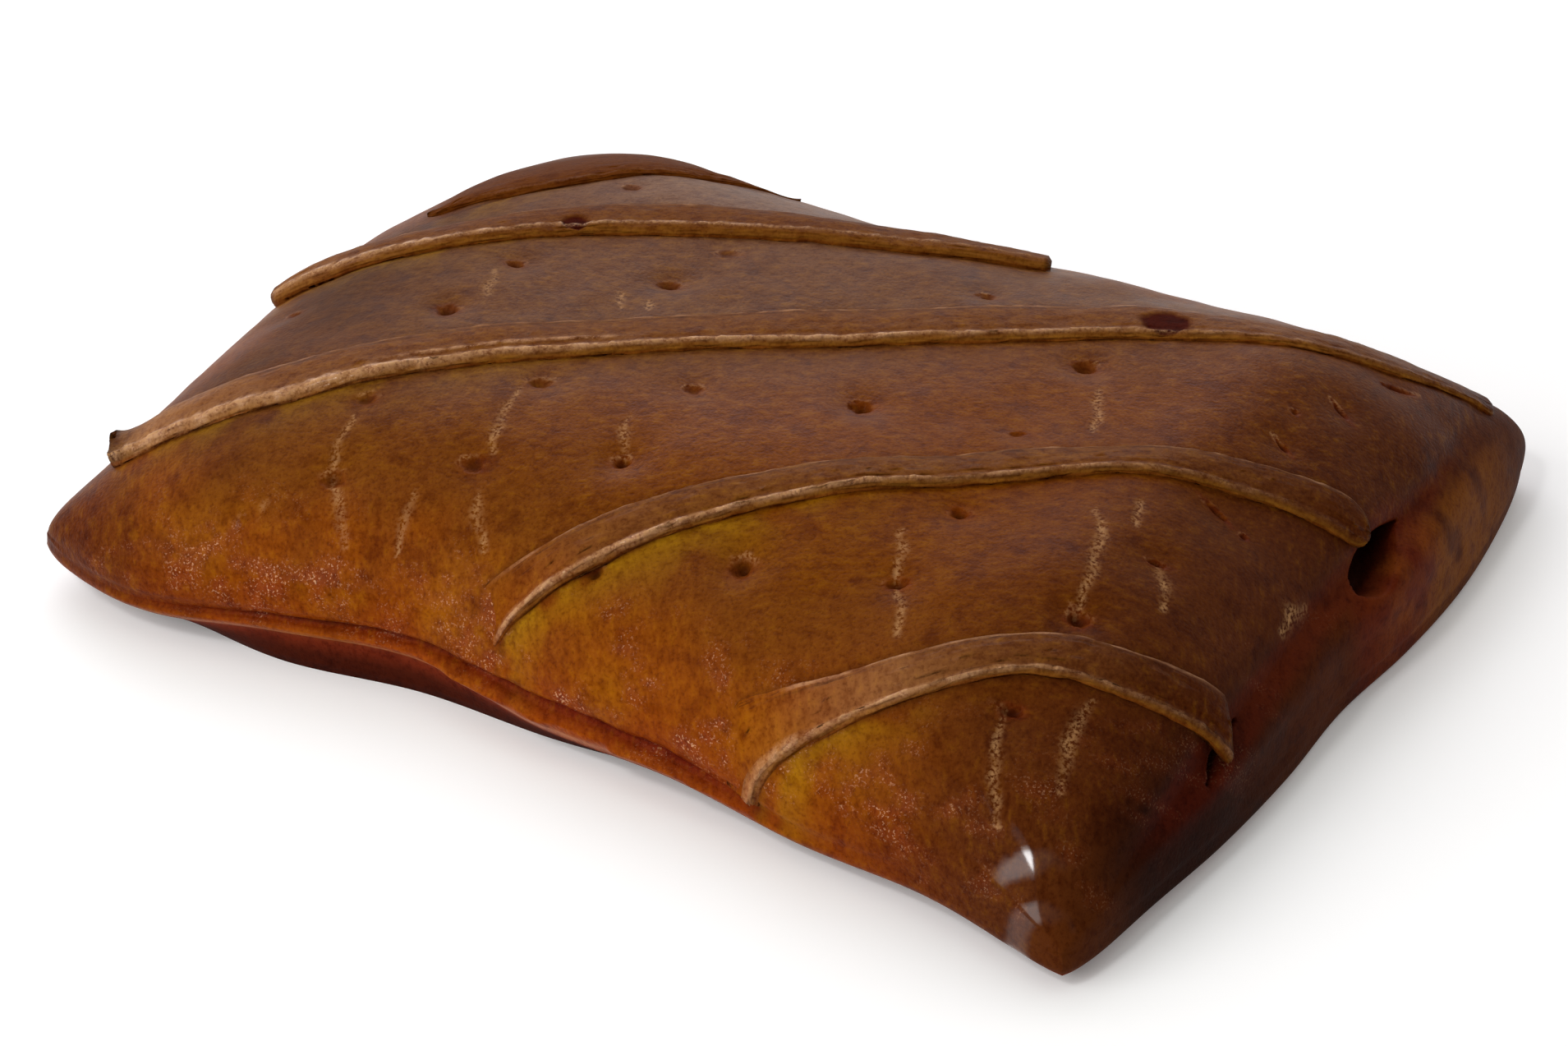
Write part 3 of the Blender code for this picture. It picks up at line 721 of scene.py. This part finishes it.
def case_points(u, v, row, depth):
    """Points of the case: the marked lid, the edge with its seam and lip, and the tucked-in base."""
    x, y = plan(u, v)
    inside = smooth(0.0, 0.012, 1 - np.abs(u)) * smooth(0.0, 0.016, 1 - np.abs(v))
    top = lid_skin(u, v) - facing(u, v) * (depth * inside)[..., None]
    top = np.where((inside > 0)[..., None], top, lid(u, v))

    w = up_the_edge(row)
    wobble, line_at = seam_waver(u, v)
    out_x, out_y = outward(u, v)
    high = edge_height(u, v) + lip_over(u, v)
    low = np.maximum(edge_height(u, v) - LIP_UNDER, 0.0)
    groove = front_only(SEAM_DEPTH, u, v) * bell(w - line_at, 0.24) * (1.0 + 0.25 * wobble)
    bulge = front_only(LIP_BULGE, u, v) * np.sin(math.pi * (1.0 - w) / 2) ** 2 * (1.0 + 0.5 * wobble)
    grain = 0.0008 * uneven(x, y + 0.032 * w, 0.0042, 35) * smooth(0.4, 0.0, np.abs(w))
    bulge += front_only(LIP_GLOW, u, v) * grain
    offset = bulge - groove - LIP_ROUND * np.clip(-w, 0.0, 1.0) ** 3
    edge = np.stack((x + out_x * offset, y + out_y * offset, low + (high - low) * (w + 1) / 2), axis=-1)

    sunk = np.clip((row - WALL_ROWS) / BASE_ROWS, 0.0, 1.0)
    inset = LIP_ROUND + (tuck(u, v) - LIP_ROUND) * sunk
    base_x, base_y = plan(u * (1 - inset / HALF_LENGTH), v * (1 - inset / HALF_WIDTH))
    base = np.stack((base_x, base_y, low * (1.0 - sunk**1.3)), axis=-1)

    points = np.where((row < 0.5)[..., None], top, edge)
    return np.where((row > WALL_ROWS - 0.5)[..., None], base, points)


def blister_share(u, v, z, mid):
    """How blistered the glaze is: patches of beads that run down the front slope."""
    x, y = plan(u, v)
    height, run_down = z / LID_HEIGHT, y + z
    share = along(BLISTERS, u) * smooth(0.12 + 0.12 * mid, 0.36, height) * smooth(0.85, 0.50, height)
    share = share * smooth(-0.3, 0.7, uneven(x, run_down, 0.008, 46) + 0.7 * mid) * smooth(0.2, -0.4, v)
    return share * smooth(-0.5, 0.7, uneven(x, run_down, 0.0032, 45))


def wet_gloss(x, y):
    """Gloss of the spots where the glaze stayed wet, with ragged rims."""
    gloss = np.zeros(x.shape)
    ragged = 1.0 + 0.25 * uneven(x, y, 0.0022, 44)
    for spot in WET_SPOTS:
        gloss = np.maximum(gloss, smooth(1.3, 0.6, oval(x, y, spot) * ragged))
    return gloss


def case_paint(u, v, row, z, mark_masks, strip_masks):
    """Colour, gloss and masks at each point of the case, as its two colour attributes hold them."""
    x, y = plan(u, v)
    dark, pale, red = mark_masks
    contact, gold, behind = strip_masks
    w = up_the_edge(row)
    wobble, line_at = seam_waver(u, v)
    height = z / LID_HEIGHT
    patches = mottle(x, y)
    wide, mid, near = patches

    on_wall = smooth(0.5, 1.5, row)
    seam = front_only(np.array(SEAM_DEPTH) / max(SEAM_DEPTH), u, v)
    seam_red = np.clip(1.5 * seam, 0, 1) * bell(w - line_at - 0.06, 0.30) * on_wall
    under = smooth(WALL_ROWS - 1.2, WALL_ROWS + 0.3, row)
    shade = smooth(WALL_ROWS, WALL_ROWS + 3.5, row)
    glow = front_only(LIP_GLOW, u, v)
    lip_line = glow * bell(row - WALL_ROWS + 1.6, 0.6)
    lip = glow * smooth(0.35, -0.25, w) * on_wall
    top = smooth(0.55, 1.0, height + 0.10 * wide + 0.05 * mid) * smooth(0.5, 0.97, facing(u, v)[:, 2])
    blister = blister_share(u, v, z, mid)
    roll_gold = smooth(0.950, 0.970, u) * smooth(0.05, 0.25, v) * smooth(0.9, 0.6, v)
    roll_gold = roll_gold * smooth(-0.8, 0.3, uneven(y, z, 0.006, 47)) * (1 - 0.6 * on_wall)
    dull = dark + under + 0.9 * behind + 0.8 * smooth(0.90, 0.97, u) + 0.5 * smooth(-0.35, -0.75, u) * top
    dull += 0.3 * smooth(0.1, 0.5, u) * smooth(0.3, -0.2, v)

    # Each layer over the slope's colour: its share, and its own colour
    colour = lay_colours(SLOPE, slope_shares(patches, height) + [
        (top, TOP),
        (0.5 * top * smooth(0.2, 0.9, -mid), TOP_DARK),
        (top * smooth(0.014, -0.045, 0.79 * y - 0.62 * x + 0.006 * wide), TOP_FRONT),
        (smooth(0.46, 0.96, u + 0.04 * wide), RIGHT_END),
        (0.85 * smooth(0.90, 1.0, u) * smooth(0.0, -0.6, v), SHADE),
        (0.7 * roll_gold, ROLL),
        # Painted sheen of the window on the back of the top
        (0.62 * top * smooth(0.2, 0.6, v) * smooth(0.1, -0.3, u), CREST_SHEEN),
        (0.85 * smooth(-0.45, -0.95, u + 0.04 * wide) * smooth(0.95, 0.3, height), LEFT_TIP),
        (0.9 * smooth(-0.60, -0.92, u) * top, TOP_DARK),
        (0.40 * smooth(-0.50, -0.80, u) * top, SHADE),
        (smooth(0.60, 0.98, u) * smooth(-0.72, -0.98, v), FRONT_TIP),
        (0.9 * behind, STRIP_BACK),
        (0.9 * gold * smooth(-0.7, 0.3, near), GOLD),
        (0.8 * blister, BLISTER),
        # Painted shade along the foot of each strip
        (0.35 * contact, CONTACT_SHADE_AND_JOINT),
        (lip, LIP),
        (0.4 * lip * smooth(-0.2, 0.7, wobble), AMBER),
        (0.4 * lip_line, PALE_EDGE_AND_HIGHLIGHT),
        (under, UNDER),
        (0.75 * shade, SHADE),
        (np.maximum(0.75 * red, seam_red), RED),
        # Painted shade in the pricks and the gaps of the fold
        (0.92 * dark, HOLE_SHADE)], len(u))
    return {
        "baking": (*colour.T, np.maximum(wet_gloss(x, y), 0.08 * blister)),
        "marks": (pale, blister, np.clip(top, 0, 1) * (1 - on_wall), dull),
    }


def make_crust(finish):
    """The closed dough case with its marks, rounded lip, seam, fold and flat base."""
    net = case_net()
    u, v, row = places(net)
    row = -row
    x, y = plan(u, v)
    depth, *mark_masks = marks(u, v, x, y)
    strip_masks = strip_paint(x, y)
    points = case_points(u, v, row, depth + CONTACT_DEPTH * strip_masks[0])
    settle(net, points)
    paints = case_paint(u, v, row, points[:, 2], mark_masks, strip_masks)
    bmesh.ops.triangulate(net, faces=[face for face in net.faces if len(face.verts) > MOST_SIDES])
    finish_piece("glazed_crust", net, paints, "crust", finish)


def strip_length(strip):
    """Length of a strip along its middle."""
    steps = np.diff(np.array(strip_line(strip)), axis=0)
    return np.sum(np.hypot(steps[:, 0], steps[:, 1]))


def strip_course(path_x, path_y, t):
    """Plan place on the middle of a strip, and the plan direction across it towards the back."""
    step = 0.01
    ahead, behind = np.clip(t + step, -1.0, 1.0), np.clip(t - step, -1.0, 1.0)
    run_x = along(path_x, ahead) - along(path_x, behind)
    run_y = along(path_y, ahead) - along(path_y, behind)
    run = np.hypot(run_x, run_y)
    return along(path_x, t), along(path_y, t), -run_y / run, run_x / run


def strip_ends(name, width, side, from_left, from_right):
    """Half width of a strip, the shares of its strength, ridge, own colour and tips, and its open ends."""
    half = np.full(side.shape, 0.5 * width)
    strength, shown, own, tip = (np.ones(side.shape) for _ in range(4))
    cut = np.zeros(side.shape)
    for away, reach, (rounded, wide, fade) in zip((from_left, from_right), END_DARK, STRIP_ENDS[name]):
        half *= np.sqrt(1 - np.clip(1 - away / rounded, 0, 1) ** 2 * 0.96)
        half *= wide + (1 - wide) * smooth(0.0, END_TAPER, away)
        if fade > 0.0:
            strength *= smooth(0.0, fade * (0.45 + 0.55 * smooth(-0.9, -0.2, side)), away)
            shown = smooth(0.0, 0.3 * fade, away)
            own *= smooth(0.0, 2.8 * fade, away)
        else:
            tip *= np.sqrt(1 - np.clip(1 - away / TIP_ROUND, 0, 1) ** 2 * 0.6)
            cut += smooth(reach, 0.0, away)
    return half, strength, shown, own, tip, cut


def strip_spots(name, x, y, px, py):
    """Where a strip has a joint, and where juice stained it."""
    joint, stain = np.zeros(px.shape), np.zeros(px.shape)
    if name in JOINTS:
        joint_x, joint_y = JOINTS[name]
        away = np.hypot(x - joint_x, y - joint_y)
        joint = bell(away + 0.0006 * uneven(px, py, 0.003, 9), JOINT_WIDTH)
    for mark in STAINS:
        share = oval(px, py, mark) * (1.0 + 0.12 * uneven(px, py, 0.002, 8))
        stain = np.maximum(stain, smooth(1.10, 0.85, share))
    return joint, stain


def make_strip(strip, bake, number, finish):
    """A flat band of dough baked on the lid, with a crinkled near edge and its own ends."""
    name, path_x, path_y, width, thickness, left_curl, right_curl = strip
    ridge_at, ridge_spread, flat, square, _, back_dark, near_side = bake
    length = strip_length(strip)
    block = divided_block(round(length / STRIP_CELL), STRIP_CELLS_ACROSS, 2)
    t, side, w = places(block)
    side = np.sin(side * math.pi / 2)

    # Its outline in plan
    x, y, across_x, across_y = strip_course(path_x, path_y, t)
    from_left, from_right = (t + 1) / 2 * length, (1 - t) / 2 * length
    half, strength, shown, own, tip, cut = strip_ends(name, width, side, from_left, from_right)
    half *= 1.0 + 0.05 * uneven(from_left, 0 * t, 0.016, 100 + number)
    edge_wave = 0.00035 * uneven(from_left, side, 0.006, 120 + number)
    edge_wave += 0.0002 * uneven(from_left, side, 0.0021, 130)
    px = x + across_x * (side * half + edge_wave)
    py = y + across_y * (side * half + edge_wave)
    u, v = locate(px, py)

    # Its relief: a crinkled near ridge, a lower far one and a hollow between them
    joint, stain = strip_spots(name, x, y, px, py)
    ridge = along(EDGE_PALE[name], t) * shown
    fine = uneven(from_left, side * half, 0.0013, 160 + number)
    coarse = uneven(from_left, side * half, 0.0034, 170 + number)
    near_line = ridge_at + 0.05 * uneven(from_left, 0 * t, 0.009, 180 + number)
    near = bell(side - near_line, 0.07 + ridge_spread * smooth(-0.2, -0.8, t))
    bevel = smooth(near_line, -1.0, side)
    second = bell(side + 0.34, 0.07) * (name == TURNED_UP)
    second = second * smooth(-0.62, -0.48, t) * smooth(-0.20, -0.30, t)
    far = bell(side - 0.90, 0.06) * strength
    hollow = bell(side + 0.58, 0.16)
    body = 0.74 - 0.12 * side + (0.04 + 0.12 * ridge) * near + 0.07 * far - 0.09 * hollow + 0.10 * second
    body += 0.05 * bell(side - 0.2, 0.3)
    rounded = np.sqrt(np.clip(1.0 - np.abs(side) ** square, 0.0, 1.0)) * (1.0 - 0.25 * bevel)
    crinkle = 0.00032 * fine * (0.2 + near) + 0.00012 * coarse
    proud = along(thickness, t) * flat * body * rounded * strength * tip + crinkle * strength
    proud -= 0.0007 * joint + 0.0006 * stain + 0.0001 * (1.0 - strength)
    curl = left_curl[0] * np.clip(-t, 0.0, 1.0) ** left_curl[1]
    curl = (curl + right_curl[0] * np.clip(t, 0.0, 1.0) ** right_curl[1]) * (0.6 + 0.4 * side)
    lift = np.where(w > 0.5, proud, np.where(w < -0.5, -STRIP_SINK, 0.35 * proud))
    points = lid_skin(u, v) + facing(u, v) * lift[..., None]
    points[:, 2] += curl
    settle(block, points)

    # Its colours, laid over those of the slope under it
    patches = mottle(px, py)
    mid = patches[1]
    height = lid(u, v)[:, 2] / LID_HEIGHT
    top = smooth(0.60, 1.0, height + 0.06 * mid)
    broken = smooth(-0.5, 0.5, fine + 0.6 * coarse)
    crinkled = ridge * near * (0.40 + 0.60 * broken)
    sides = smooth(0.965, 1.0, np.abs(side)) * strength
    line = bell(side - 0.70, 0.05)
    # Painted shade on the turned-up left end
    left_dark = smooth(0.014, 0.0, from_left) * (name == TURNED_UP)
    back_strip = np.full(t.shape, back_dark)
    colour = lay_colours(SLOPE, slope_shares(patches, height) + [
        (own, STRIP_SLOPE),
        (0.2 * strength * smooth(0.0, 0.9, mid), AMBER),
        (top, STRIP_TOP),
        (smooth(0.55, 0.95, u), RIGHT_END),
        (0.35 * smooth(0.55, 0.25, height), RUSSET),
        (0.55 * bevel * strength, near_side),
        (0.45 * line * strength, STRIP_LINE),
        # The pale ridges are partly pale dough and partly painted highlight
        (0.68 * crinkled, PALE_EDGE_AND_HIGHLIGHT),
        (0.60 * second * broken, PALE_EDGE_AND_HIGHLIGHT),
        (0.40 * far * smooth(-0.6, 0.6, coarse), PALE_EDGE_AND_HIGHLIGHT),
        (0.8 * left_dark, STRIP_LINE),
        (0.7 * joint, CONTACT_SHADE_AND_JOINT),
        # Painted shade at the open ends, and at the foot of the sides
        (0.75 * cut, CONTACT_SHADE_AND_JOINT),
        (0.8 * sides, RUSSET),
        (0.7 * sides * smooth(0.3, -0.9, w), CONTACT_SHADE_AND_JOINT),
        (back_strip, STRIP_BACK),
        (0.95 * stain, STAIN)], len(t))
    # The ridge's pale and glints go to the marks as well; both are partly painted highlight
    paints = {
        "baking": (*colour.T, 0.5 * crinkled * broken),
        "marks": (0.9 * crinkled, 0.9 * crinkled + 0.5 * second, top, stain + joint + back_strip),
    }
    finish_piece(name + "_glazed", block, paints, name, finish)


# Finishes


def linear(code):
    """An sRGB hex colour as linear light."""
    shares = [int(code[k:k + 2], 16) / 255 for k in (1, 3, 5)]
    return tuple(c / 12.92 if c <= 0.04045 else ((c + 0.055) / 1.055) ** 2.4 for c in shares) + (1.0,)


def per_metre(size_mm):
    """Texture scale for a pattern whose features are size_mm across."""
    return 1000.0 / size_mm


def add(tree, kind, settings=None, **links):
    """Adds a node with its settings, and its inputs, values or links, by name or as i0, i1 and so on."""
    node = tree.nodes.new(kind)
    for key, value in (settings or {}).items():
        setattr(node, key, value)
    for key, value in links.items():
        name = key.replace("_", " ")
        socket = node.inputs[int(key[1:])] if key[0] == "i" and key[1:].isdigit() else node.inputs[name]
        if isinstance(value, bpy.types.NodeSocket):
            tree.links.new(value, socket)
        else:
            socket.default_value = value
    return node


def glazed_dough(name, roughness, glaze):
    """Egg-glazed baked dough: a thin satin film over a mottled, streaky and finely grained crust.

    The real grain and glints, finer than 0.9 and 0.6 mm, are drawn that coarse to show; the glints are
    painted.
    """
    finish = bpy.data.materials.new(name)
    finish.use_nodes = True
    tree = finish.node_tree
    shader = tree.nodes["Principled BSDF"]
    place = add(tree, "ShaderNodeTexCoord").outputs["Object"]
    paint_in = add(tree, "ShaderNodeAttribute", {"attribute_name": "baking"})
    paint, gloss = paint_in.outputs["Color"], paint_in.outputs["Alpha"]
    marks_in = add(tree, "ShaderNodeAttribute", {"attribute_name": "marks"})
    pale, blister, top = add(tree, "ShaderNodeSeparateColor", Color=marks_in.outputs["Color"]).outputs
    shaded = marks_in.outputs["Alpha"]

    # Brush strokes run down the slopes, and along the strips on the flat top
    brushed = {}
    for key, turn, stretch in (("down", 33.0, 3.0), ("across", -58.0, 2.2)):
        node = add(tree, "ShaderNodeMapping", {"vector_type": "TEXTURE"}, Vector=place)
        node.inputs["Rotation"].default_value = (0.0, 0.0, math.radians(turn))
        node.inputs["Scale"].default_value = (1.0, stretch, 0.5 * stretch)
        brushed[key] = node.outputs[0]

    noise = {}
    for key, vector, size_mm, detail in (
            ("patches", place, 8.0, 3.0), ("down", brushed["down"], 1.7, 4.0),
            ("across", brushed["across"], 1.8, 4.0), ("grain", place, 0.9, 2.0), ("glint_noise", place, 0.6, 2.0)):
        noise[key] = add(tree, "ShaderNodeTexNoise", Vector=vector, Scale=per_metre(size_mm), Detail=detail,
                         Roughness=0.58).outputs[0]
    bubbles = add(tree, "ShaderNodeTexVoronoi", {"feature": "SMOOTH_F1"}, Vector=place,
                  Scale=per_metre(1.7), Smoothness=0.35).outputs[0]
    streaks = add(tree, "ShaderNodeMix", {"data_type": "FLOAT"}, i0=top, i2=noise["down"],
                  i3=noise["across"]).outputs[0]

    # Each share: source, where it starts and where it is full, and how strong it gets
    shares = {}
    for key, source, start, full, strength in (
            ("streak_dark", streaks, 0.54, 0.30, 0.50),
            ("streak_light", streaks, 0.50, 0.72, 0.50),
            ("patch_dark", noise["patches"], 0.50, 0.30, 0.45),
            ("grain_dark", noise["grain"], 0.50, 0.30, 0.40),
            ("grain_light", noise["grain"], 0.52, 0.70, 0.50),
            ("glint", noise["glint_noise"], 0.56, 0.68, 0.80),
            ("broken", noise["grain"], 0.38, 0.60, 0.85),
            ("bead", bubbles, 0.42, 0.05, 1.0)):
        shares[key] = add(tree, "ShaderNodeMapRange", {"interpolation_type": "SMOOTHSTEP"}, Value=source,
                          i1=start, i2=full, i3=0.0, i4=strength).outputs[0]

    # Some shares show only where a mask from the attributes lets them
    lit = add(tree, "ShaderNodeMath", {"operation": "SUBTRACT", "use_clamp": True}, i0=1.0,
              i1=shaded).outputs[0]
    # The sparkle share paints glints into the colour where the glaze blisters and along the ridges
    for key, mask, share in (
            ("pale", pale, "broken"), ("sparkle", blister, "glint"), ("bubble", blister, "bead"),
            ("streak_light", lit, "streak_light"), ("grain_light", lit, "grain_light")):
        shares[key] = add(tree, "ShaderNodeMath", {"operation": "MULTIPLY"}, i0=mask,
                          i1=shares[share]).outputs[0]

    # The pale share holds the cracks and the pale dough, and also painted highlights
    colour = paint
    for key, how, code in (
            ("streak_dark", "MULTIPLY", STREAK_DARK), ("streak_light", "SCREEN", STREAK_LIGHT),
            ("patch_dark", "MULTIPLY", PATCH_DARK), ("grain_dark", "MULTIPLY", GRAIN_DARK),
            ("grain_light", "SCREEN", GRAIN_LIGHT), ("sparkle", "MIX", PAINTED_GLINT), ("pale", "MIX", CRACK_AND_HIGHLIGHT)):
        colour = add(tree, "ShaderNodeMix", {"data_type": "RGBA", "blend_type": how}, i0=shares[key],
                     i6=colour, i7=linear(code)).outputs[2]
    tree.links.new(colour, shader.inputs["Base Color"])

    # The film is duller in patches and where the crust is shaded, and smoother where it stayed wet
    rough = add(tree, "ShaderNodeMath", {"operation": "MULTIPLY_ADD"}, i0=noise["patches"], i1=0.25,
                i2=roughness - 0.12).outputs[0]
    clamped = {"operation": "MULTIPLY_ADD", "use_clamp": True}
    for mask, more in ((shaded, 0.35), (gloss, -0.26)):
        rough = add(tree, "ShaderNodeMath", clamped, i0=mask, i1=more, i2=rough).outputs[0]
    tree.links.new(rough, shader.inputs["Roughness"])
    shader.inputs["Specular IOR Level"].default_value = glaze
    shader.inputs["Specular Tint"].default_value = linear(GLAZE_TINT)
    wet = add(tree, "ShaderNodeMath", clamped, i0=gloss, i1=0.80, i2=0.2 * glaze)
    tree.links.new(wet.outputs[0], shader.inputs["Coat Weight"])
    shader.inputs["Coat Roughness"].default_value = 0.10

    # Brush strokes and grain are felt as a fine relief, with the bubbles of the glaze over it
    fine = add(tree, "ShaderNodeMath", {"operation": "MULTIPLY_ADD"}, i0=streaks, i1=0.6, i2=noise["grain"])
    low_bump = add(tree, "ShaderNodeBump", Height=fine.outputs[0], Strength=0.5, Distance=0.00035)
    bump = add(tree, "ShaderNodeBump", Height=shares["bubble"], Strength=0.8, Distance=0.00045,
               Normal=low_bump.outputs[0])
    tree.links.new(bump.outputs[0], shader.inputs["Normal"])
    return finish


def matte_paint(name, code, glow):
    """Matte wall paint: rough, with a faint glow that lifts the shadows on it."""
    finish = bpy.data.materials.new(name)
    finish.use_nodes = True
    shader = finish.node_tree.nodes["Principled BSDF"]
    for socket, value in (("Base Color", linear(code)), ("Roughness", 0.9), ("Specular IOR Level", 0.2),
                          ("Emission Color", linear(code)), ("Emission Strength", glow)):
        shader.inputs[socket].default_value = value
    return finish


# Floor, light and camera


def soft_light(name, direction, distance, size, power, code):
    """A square studio light that faces the pie."""
    lamp = bpy.data.lights.new(name, "AREA")
    lamp.size = size
    lamp.energy = power
    lamp.color = linear(code)[:3]
    holder = put(name, lamp)
    toward = Vector(direction).normalized()
    holder.location = Vector(LIGHTS_FACE) + toward * distance
    holder.rotation_euler = toward.to_track_quat("Z", "Y").to_euler()


def make_floor():
    """A wide matte floor, which is scenery and no part of the pie."""
    net = bmesh.new()
    bmesh.ops.create_grid(net, x_segments=2, y_segments=2, size=FLOOR_HALF)
    mesh = bpy.data.meshes.new("floor")
    net.to_mesh(mesh)
    net.free()
    mesh.materials.append(matte_paint("matte pale paint", WHITE, 0.10))
    put("floor", mesh)


def set_sky():
    """Pale light from all round, strongest from the window's side."""
    world = bpy.data.worlds.new("studio")
    bpy.context.scene.world = world
    world.use_nodes = True
    tree = world.node_tree
    sky = tree.nodes["Background"]
    sky.inputs["Color"].default_value = linear(SKY)
    toward = add(tree, "ShaderNodeTexCoord").outputs["Generated"]
    to_window = add(tree, "ShaderNodeVectorMath", {"operation": "DOT_PRODUCT"}, i0=toward, i1=WINDOW_SIDE)
    strength = add(tree, "ShaderNodeMapRange", {"interpolation_type": "SMOOTHSTEP"},
                   Value=to_window.outputs["Value"], i1=-0.2, i2=0.95, i3=0.28, i4=1.02)
    tree.links.new(strength.outputs[0], sky.inputs["Strength"])


def set_camera():
    """Aims the camera, which is rolled slightly to one side."""
    azimuth, elevation, roll = (math.radians(angle) for angle in CAMERA_ANGLES)
    lens = bpy.data.cameras.new("camera")
    lens.lens = LENS
    camera = put("camera", lens)
    turn = (Matrix.Rotation(azimuth, 4, "Z") @ Matrix.Rotation(math.pi / 2 - elevation, 4, "X")
            @ Matrix.Rotation(roll, 4, "Z"))
    off = Matrix.Translation((0, 0, CAMERA_DISTANCE))
    camera.matrix_world = Matrix.Translation(CAMERA_TARGET) @ turn @ off
    bpy.context.scene.camera = camera


bpy.context.scene.view_settings.view_transform = "Standard"
make_floor()
set_sky()
for light in LIGHTS:
    soft_light(*light)
set_camera()
crust_finish = glazed_dough("egg-glazed baked dough, lid", LID_ROUGHNESS, LID_GLAZE)
strip_finish = glazed_dough("egg-glazed baked dough, strips", STRIP_ROUGHNESS, STRIP_GLAZE)
make_crust(crust_finish)
for strip_number, (one_strip, one_bake) in enumerate(zip(STRIPS, STRIP_BAKE)):
    make_strip(one_strip, one_bake, strip_number, strip_finish)
